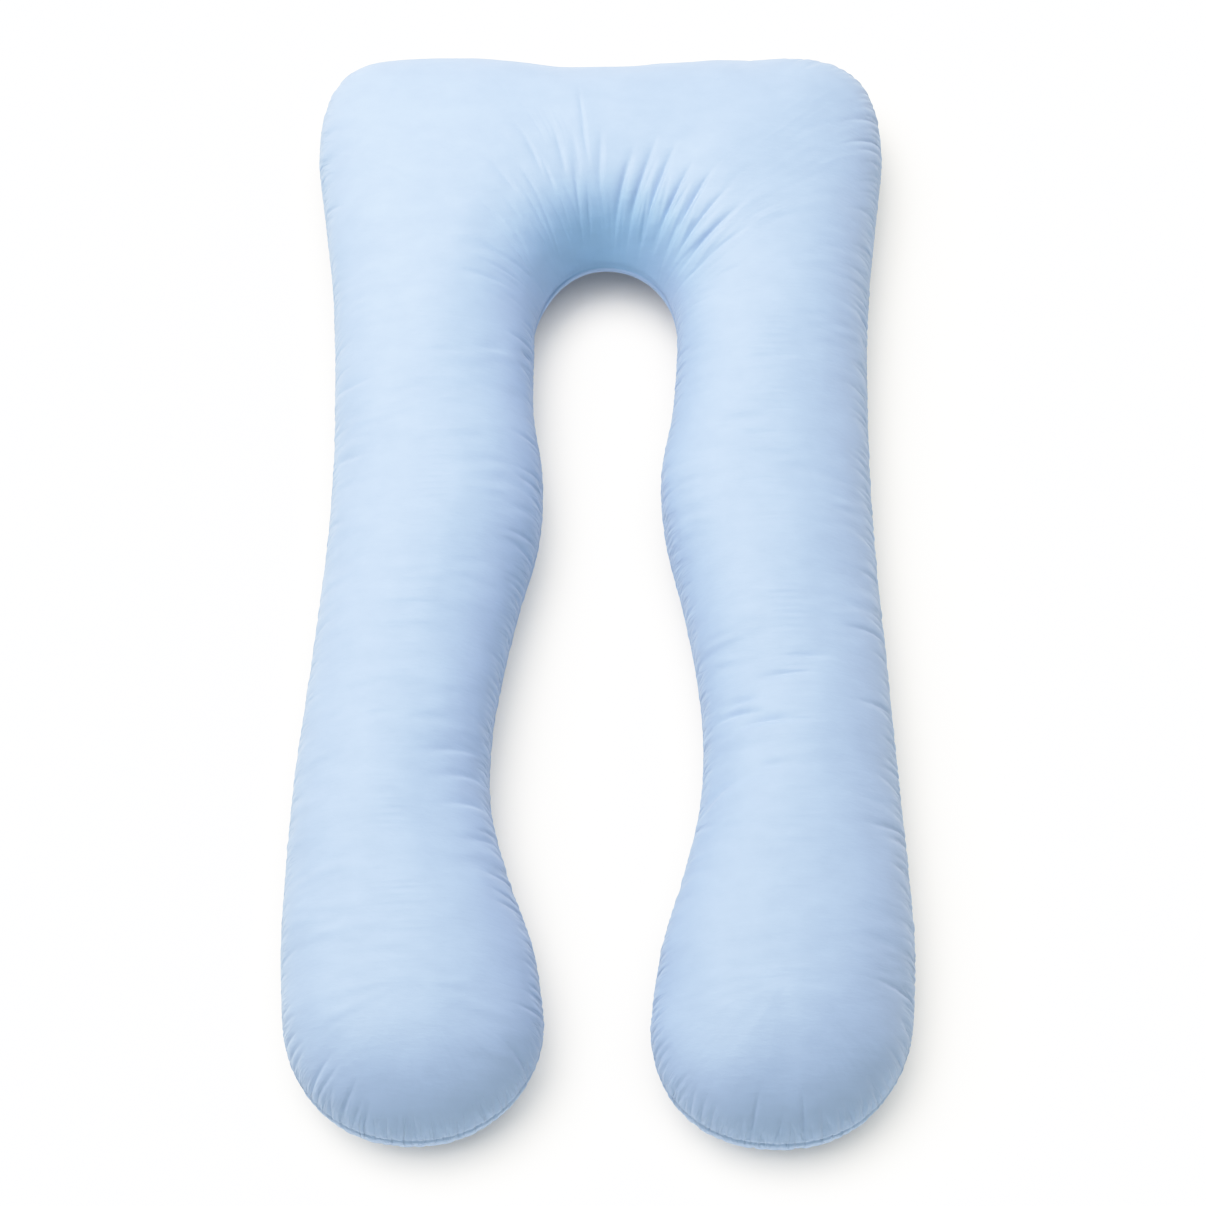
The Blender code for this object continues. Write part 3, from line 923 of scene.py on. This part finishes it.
def close_over(ring, places, line_index, flipped):
    """Faces between a ring and the crown line, from each point's place on that line."""
    on_line = np.rint(places / 3 * (CROWN_POINTS - 1)).astype(int)
    closed = []
    for i, point in enumerate(ring):
        j = (i + 1) % len(ring)
        start, end = on_line[i], on_line[j]
        between = range(end, start - 1, -1) if end >= start else range(end, start + 1)
        face = [int(point), int(ring[j]), *(int(line_index[k]) for k in between)]
        closed.append(face[::-1] if flipped else face)
    return closed


faces = [face for lower, upper in zip(ring_index, ring_index[1:]) for face in bridge(lower, upper)]
faces += close_over(ring_index[-1], place, top_index, False)
faces += close_over(ring_index[0], place[::2], under_index, True)

cover_mesh = bpy.data.meshes.new("filled_cover")
cover_mesh.from_pydata(points.tolist(), [], faces)
cover_mesh.validate()
cover = bpy.data.objects.new("filled_cover", cover_mesh)
bpy.context.scene.collection.objects.link(cover)
cover_mesh.shade_smooth()
triangles = sum(len(polygon.vertices) - 2 for polygon in cover_mesh.polygons)
print("filled_cover:", len(points), "points,", triangles, "triangles")

# %% [markdown]
# ## Coordinates on the cloth
#
# A pattern needs to know where it is on the cloth. An unwrapped picture would stretch on this
# form, so each point of the mesh carries three notes instead. "sewn" says how far round the
# seam it is, as a place on a circle as long as the seam, and how far in. "panel" is the cloth
# laid flat again, so patterns don't smear down the sides. The third note is a mask of painted
# shade: it says where the blue is painted darker, on the slope just above the arch, which falls
# away from the light, and a little on the steep sides, which turn from it.

# %% Coordinates on the cloth, and painted shade
GATHER_LENGTH = 0.060
PAINTED_SHADE_REACH = 0.16
PAINTED_SHADE_FULLY = 0.35
PAINTED_SHADE_ON_SIDES = 0.3
SIDE_TURNS, SIDE_STEEP = 0.2, 0.9
UNGATHERED_BY_ARCH = 0.5


def write_on_cloth(name, values):
    """Stores three numbers for each point of the mesh."""
    layer = cover_mesh.attributes.new(name, "FLOAT_VECTOR", "POINT")
    layer.data.foreach_set("vector", np.ascontiguousarray(values, dtype=np.float32).ravel())


seam_angle = 2 * np.pi * run / SEAM_LENGTH
seam_loop = np.stack((np.cos(seam_angle), np.sin(seam_angle)), axis=1) * SEAM_LENGTH / (2 * np.pi)
from_gathers = inward + GATHER_LENGTH * step_smoothly(by_arch, 0.0, UNGATHERED_BY_ARCH)
round_seam = np.broadcast_to(seam_loop, (len(rings), COLUMNS, 2))
sewn = np.concatenate((round_seam, from_gathers[..., None]), axis=2)
far_from_seam = np.column_stack((np.zeros((CROWN_POINTS, 2)), np.ones(CROWN_POINTS)))
write_on_cloth("sewn", as_mesh_points(sewn, far_from_seam, far_from_seam))

plan_reach = [np.linalg.norm(rings[k, :, :2] - shift[:2] - centre, axis=1) for k in (0, -1)]
to_crown = [inward[k] + length for k, length in zip((0, -1), plan_reach)]
from_crown = np.where(is_top, to_crown[1], to_crown[0]) - inward
flat_plan = centre + outward * from_crown[..., None]
flat = np.concatenate((flat_plan, np.zeros((*inward.shape, 1))), axis=2)
crown_flat = np.column_stack((crown_line(crown_places), np.zeros(CROWN_POINTS)))
write_on_cloth("panel", as_mesh_points(flat, crown_flat, crown_flat))

# Painted shade: this mask darkens the blue on the slope just above the arch, fading out towards the
# crown, and a little on the steep sides, which turn from the light.
painted_shade_fading = step_smoothly(inward, PAINTED_SHADE_REACH * PAINTED_SHADE_FULLY, PAINTED_SHADE_REACH)
painted_shade = by_arch * is_top * (1 - painted_shade_fading)
steepness = step_smoothly(1 - normals[..., 2], SIDE_TURNS, SIDE_STEEP)
painted_shade = np.maximum(painted_shade, PAINTED_SHADE_ON_SIDES * steepness)
no_line = np.zeros((CROWN_POINTS, 3))
painted_shade_values = np.repeat(painted_shade[..., None], 3, axis=2)
write_on_cloth("painted_shade_mask", as_mesh_points(painted_shade_values, no_line, no_line))
print(f"pulled tight on {100 * (painted_shade > 0.5).mean():.1f} % of the points")

# %% [markdown]
# ## Satin
#
# The cover is polyester satin in a light blue. In a satin weave each thread floats over several
# others before it dips under one, so the face of the cloth is nearly all smooth threads lying
# side by side. To the eye that is a soft, broad sheen without a sharp highlight, and no
# visible grid. Fibres have an ordinary IOR of 1.5, which is the default, and their many
# directions make the cloth rough (0.62) and cut its mirror shine to a third.

# %% Satin, as woven
SATIN_FINISH = {"Roughness": 0.62, "Specular IOR Level": 0.15, "Sheen Weight": 0.23}


def linear(hex_colour):
    """A colour written as sRGB hex, as the linear numbers that Blender works with."""
    channels = [int(hex_colour[k : k + 2], 16) / 255 for k in (0, 2, 4)]
    return [c / 12.92 if c <= 0.04045 else ((c + 0.055) / 1.055) ** 2.4 for c in channels] + [1.0]


def add_node(tree, kind, options, sockets):
    """Adds a shader node, with its options set and its sockets filled with values or linked."""
    node = tree.nodes.new("ShaderNode" + kind)
    for name, value in options.items():
        setattr(node, name, value)
    for name, value in sockets.items():
        if isinstance(value, bpy.types.NodeSocket):
            tree.links.new(value, node.inputs[name])
        else:
            node.inputs[name].default_value = value
    return node


satin = bpy.data.materials.new("blue_satin")
satin.use_nodes = True
satin_tree = satin.node_tree
satin_shader = satin_tree.nodes["Principled BSDF"]
for socket, value in SATIN_FINISH.items():
    satin_shader.inputs[socket].default_value = value
cover_mesh.materials.append(satin)
print("satin:", SATIN_FINISH)

# %% [markdown]
# The finest gathers, less than a millimetre high, are too small for the mesh, so they are bump.
# A noise of 13 mm patches is drawn out six times as long as it is wide, straight in from the
# seam. Where it crosses its middle value it makes a thin winding line, and that line is a ridge
# of cloth. The ridges fade out 60 mm from the seam, and there are none round the arch, where
# the cloth is too tight.

# %% Finest gathers
GATHER_SIZE = 0.013
GATHER_STRETCH = 0.16
GATHER_HEIGHT = 0.0009
RIDGE_REACH = 0.08

place_on_seam = add_node(satin_tree, "Attribute", {"attribute_name": "sewn"}, {}).outputs["Vector"]
drawn_long = add_node(
    satin_tree, "VectorMath", {"operation": "MULTIPLY"},
    {0: place_on_seam, 1: (1, 1, GATHER_STRETCH)},
).outputs[0]
gather_noise = add_node(
    satin_tree, "TexNoise", {},
    {"Vector": drawn_long, "Scale": 1 / GATHER_SIZE, "Detail": 2.0, "Roughness": 0.5},
).outputs["Fac"]
off_middle = add_node(
    satin_tree, "Math", {"operation": "SUBTRACT"}, {0: gather_noise, 1: 0.5}
).outputs[0]
away = add_node(satin_tree, "Math", {"operation": "ABSOLUTE"}, {0: off_middle}).outputs[0]
ridge = add_node(
    satin_tree, "MapRange", {"interpolation_type": "SMOOTHSTEP"},
    {"Value": away, "From Max": RIDGE_REACH, "To Min": 1.0, "To Max": 0.0},
).outputs[0]
distance = add_node(satin_tree, "SeparateXYZ", {}, {0: place_on_seam}).outputs["Z"]
fade = add_node(
    satin_tree, "MapRange", {"interpolation_type": "SMOOTHSTEP"},
    {"Value": distance, "From Max": GATHER_LENGTH, "To Min": GATHER_HEIGHT, "To Max": 0.0},
).outputs[0]
gather_height = add_node(
    satin_tree, "Math", {"operation": "MULTIPLY"}, {0: ridge, 1: fade}
).outputs[0]
print("gathers are up to", GATHER_HEIGHT * 1000, "mm high, within", GATHER_LENGTH * 1000, "mm")

# %% [markdown]
# Over the whole cloth lie three more textures: the nap, soft patches of 12 mm where the cloth
# gives; hairlines, fine long wrinkles from being pressed; and the weave. A real satin thread is
# about 0.2 mm thick, which is finer than the picture can show, so the weave is drawn at 0.9 mm.
# All three are noise, drawn out across the limbs, and their heights are added to the gathers'.

# %% Nap, hairlines and weave
TEXTURES = {
    # size, stretch across, detail, height
    "nap": (0.012, 2.5, 3.0, 0.0006),
    "hairlines": (0.0035, 9.0, 2.0, 0.00006),
    "weave": (0.0009, 2.5, 1.0, 0.00006),
}

on_panel = add_node(satin_tree, "Attribute", {"attribute_name": "panel"}, {}).outputs["Vector"]


def mottle(size, stretch, detail):
    """Soft uneven patches of a size in metres, drawn out across the limbs."""
    spread = add_node(
        satin_tree, "VectorMath", {"operation": "MULTIPLY"}, {0: on_panel, 1: (1 / stretch, 1, 1)}
    ).outputs[0]
    return add_node(
        satin_tree, "TexNoise", {},
        {"Vector": spread, "Scale": 1 / size, "Detail": detail, "Roughness": 0.6},
    ).outputs["Fac"]


total_height = gather_height
for size, stretch, detail, height in TEXTURES.values():
    texture = mottle(size, stretch, detail)
    total_height = add_node(
        satin_tree, "Math", {"operation": "MULTIPLY_ADD"}, {0: texture, 1: height, 2: total_height}
    ).outputs[0]
bump = add_node(satin_tree, "Bump", {}, {"Distance": 1.0, "Height": total_height})
satin_tree.links.new(bump.outputs[0], satin_shader.inputs["Normal"])
print("bump of gathers,", ", ".join(TEXTURES))

# %% [markdown]
# On the slope just above the arch and on the steep sides, which fall away from the light, a
# darker blue is mixed into the colour: that is painted shade. Dye and nap are never quite even,
# which is a change of 4 % up or down, in patches of 30 mm. A Mix node has sockets for every
# kind of value, so the ones for colours are picked by their numbers.

# %% Colour of the satin, with painted shade
SATIN_BLUE = "adbee0"
# Painted shade: the second blue is a darker blue, mixed in where the mask of painted shade is high.
PAINTED_SHADE_BLUE = "91b2d5"
DYE_PATCHES = (0.030, 1.5, 4.0)
DYE_CHANGE = {"From Min": 0.25, "From Max": 0.75, "To Min": 0.96, "To Max": 1.04}
MIX_SHARE, MIX_FIRST, MIX_SECOND, MIX_RESULT = 0, 6, 7, 2

# Painted shade: the mask from the mesh mixes the darker blue in over the arch slope and the steep
# sides.
painted_shade_share = add_node(
    satin_tree, "Attribute", {"attribute_name": "painted_shade_mask"}, {}
).outputs["Fac"]
blue = add_node(
    satin_tree, "Mix", {"data_type": "RGBA"},
    {MIX_SHARE: painted_shade_share, MIX_FIRST: linear(SATIN_BLUE), MIX_SECOND: linear(PAINTED_SHADE_BLUE)},
).outputs[MIX_RESULT]
shade = add_node(
    satin_tree, "MapRange", {}, {"Value": mottle(*DYE_PATCHES), **DYE_CHANGE}
).outputs[0]
colour = add_node(
    satin_tree, "VectorMath", {"operation": "SCALE"}, {0: blue, "Scale": shade}
).outputs[0]
satin_tree.links.new(colour, satin_shader.inputs["Base Color"])
print("blue_satin has", len(satin_tree.nodes), "nodes")

# %% [markdown]
# ## Floor
#
# The pillow lies on a seamless sheet of white paper, so wide that no edge shows. Uncoated paper
# scatters light evenly, so it is rough and hardly shines, and it is a little warm, which the
# sides of the pillow pick up. It lies half a millimetre low, so that it can't flicker through
# the underside.

# %% Paper floor
PAPER_WHITE = "ddd8d3"
PAPER_FINISH = {"Roughness": 0.9, "Specular IOR Level": 0.1}
PAPER_HALF = 8
PAPER_DROP = 0.0005

floor_corners = [(PAPER_HALF * x, PAPER_HALF * y, 0) for x, y in ((-1, -1), (1, -1), (1, 1), (-1, 1))]
floor_mesh = bpy.data.meshes.new("floor")
floor_mesh.from_pydata(floor_corners, [], [(0, 1, 2, 3)])
floor = bpy.data.objects.new("floor", floor_mesh)
floor.location.z = -PAPER_DROP
bpy.context.scene.collection.objects.link(floor)
paper = bpy.data.materials.new("white_paper")
paper.use_nodes = True
paper_shader = paper.node_tree.nodes["Principled BSDF"]
paper_shader.inputs["Base Color"].default_value = linear(PAPER_WHITE)
for socket, value in PAPER_FINISH.items():
    paper_shader.inputs[socket].default_value = value
floor_mesh.materials.append(paper)
print("floor is", 2 * PAPER_HALF, "m wide")

# %% [markdown]
# ## Light
#
# The studio is bright and soft: the floor is nearly white, with faint shadows, while one large
# softbox behind the head, on the left, models the pillow. One set of lights can't give both, so
# the pillow and the floor have lights of their own, through light linking. A light's direction
# is its azimuth (0 is behind the head, 90 to the right) and its elevation, in degrees, and its
# width is how many degrees of the sky it fills: 60 is as soft as a large cloth close by.

# %% Light from all round
AIR_COLOUR = (0.81, 1.0, 0.93, 1)
AIR_STRENGTH = 0.298

world = bpy.data.worlds.new("studio")
bpy.context.scene.world = world
world.use_nodes = True
air = world.node_tree.nodes["Background"]
air.inputs["Color"].default_value = AIR_COLOUR
air.inputs["Strength"].default_value = AIR_STRENGTH
print("air:", AIR_COLOUR[:3], "times", AIR_STRENGTH)

# %% [markdown]
# Two kinds of light are enough. One so far away that it is even over the whole pillow is a
# sun in Blender, made as wide as wanted. One near enough to fade towards the feet is a disk.

# %% Kinds of light
def light_only(light, lit):
    """Keeps a light to one object."""
    group = bpy.data.collections.new(light.name + "_lights")
    group.objects.link(lit)
    light.light_linking.receiver_collection = group


def shine(name, kind, azimuth, elevation):
    """A light of a kind, from a direction."""
    light = bpy.data.objects.new(name, bpy.data.lights.new(name, kind))
    light.rotation_euler = (math.radians(90 - elevation), 0, math.radians(180 - azimuth))
    bpy.context.scene.collection.objects.link(light)
    return light


def far_light(name, azimuth, elevation, width, strength):
    """A soft light so far away that it's as strong at the feet as at the head."""
    light = shine(name, "SUN", azimuth, elevation)
    light.data.energy = math.pi * strength
    light.data.angle = math.radians(width)
    return light


def round_softbox(name, azimuth, elevation, width, distance, strength):
    """A round lit cloth near enough for its light to fade from the head to the feet."""
    light = shine(name, "AREA", azimuth, elevation)
    half = math.radians(width / 2)
    light.data.shape = "DISK"
    light.data.size = 2 * distance * math.tan(half)
    light.data.energy = math.pi * strength * math.pi * (distance / math.cos(half)) ** 2
    light.location = light.rotation_euler.to_matrix() @ Vector((0, 0, distance))
    return light


print("far lights and a round softbox can be set up")

# %% [markdown]
# The softbox does most of the work on the pillow. A second light, which only reflects, gives
# the satin its gloss, and a weak blue one from the feet side keeps the near ends from going
# grey. The floor has a light overhead, one from the window side, and a little from the room.
# Directions and strengths were found by rendering, comparing with the picture, and changing.

# %% Lights
FILL_COLOUR = (0.10, 0.75, 1.00)

softbox = round_softbox(
    "softbox", azimuth=324, elevation=64, width=60, distance=4.5, strength=1.10
)
light_only(softbox, cover)
gloss = far_light("gloss", azimuth=300, elevation=60, width=60, strength=3.5)
gloss.visible_diffuse = False
light_only(gloss, cover)
fill = far_light("fill", azimuth=180, elevation=20, width=60, strength=0.08)
fill.data.color = FILL_COLOUR
light_only(fill, cover)
light_only(far_light("overhead", azimuth=0, elevation=90, width=60, strength=1.04), floor)
light_only(far_light("window", azimuth=270, elevation=60, width=60, strength=0.80), floor)
light_only(far_light("room", azimuth=180, elevation=50, width=70, strength=0.22), floor)
lights = [thing.name for thing in bpy.context.scene.objects if thing.type == "LIGHT"]
print("lights:", lights)

# %% [markdown]
# ## Brightness
#
# A camera doesn't cut its whites off hard: it rolls them off, so the lit satin keeps its form.
# A curve on the finished picture does the same. It leaves the darks as they are, and bends
# from 0.7 upwards, so that a scene value of 1.4 is shown as white.

# %% Brightness curve
ROLL_OFF = (
    # value in the scene, value shown
    (0.55, 0.55),
    (0.70, 0.69),
    (0.85, 0.80),
    (1.0, 0.885),
    (1.2, 0.965),
    (1.4, 1.0),
)
BRIGHTEST = 1.5
ALL_CHANNELS = 3

view = bpy.context.scene.view_settings
view.view_transform = "Standard"
view.use_curve_mapping = True
view.curve_mapping.clip_max_x = BRIGHTEST
brightness = view.curve_mapping.curves[ALL_CHANNELS]
brightness.points[1].location = (BRIGHTEST, 1.0)
for scene_value, shown_value in ROLL_OFF:
    brightness.points.new(scene_value, shown_value)
view.curve_mapping.update()
print("brightness curve has", len(brightness.points), "points")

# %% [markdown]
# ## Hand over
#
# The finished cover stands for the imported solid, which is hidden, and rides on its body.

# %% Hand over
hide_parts("pillow")
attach(cover, "root")
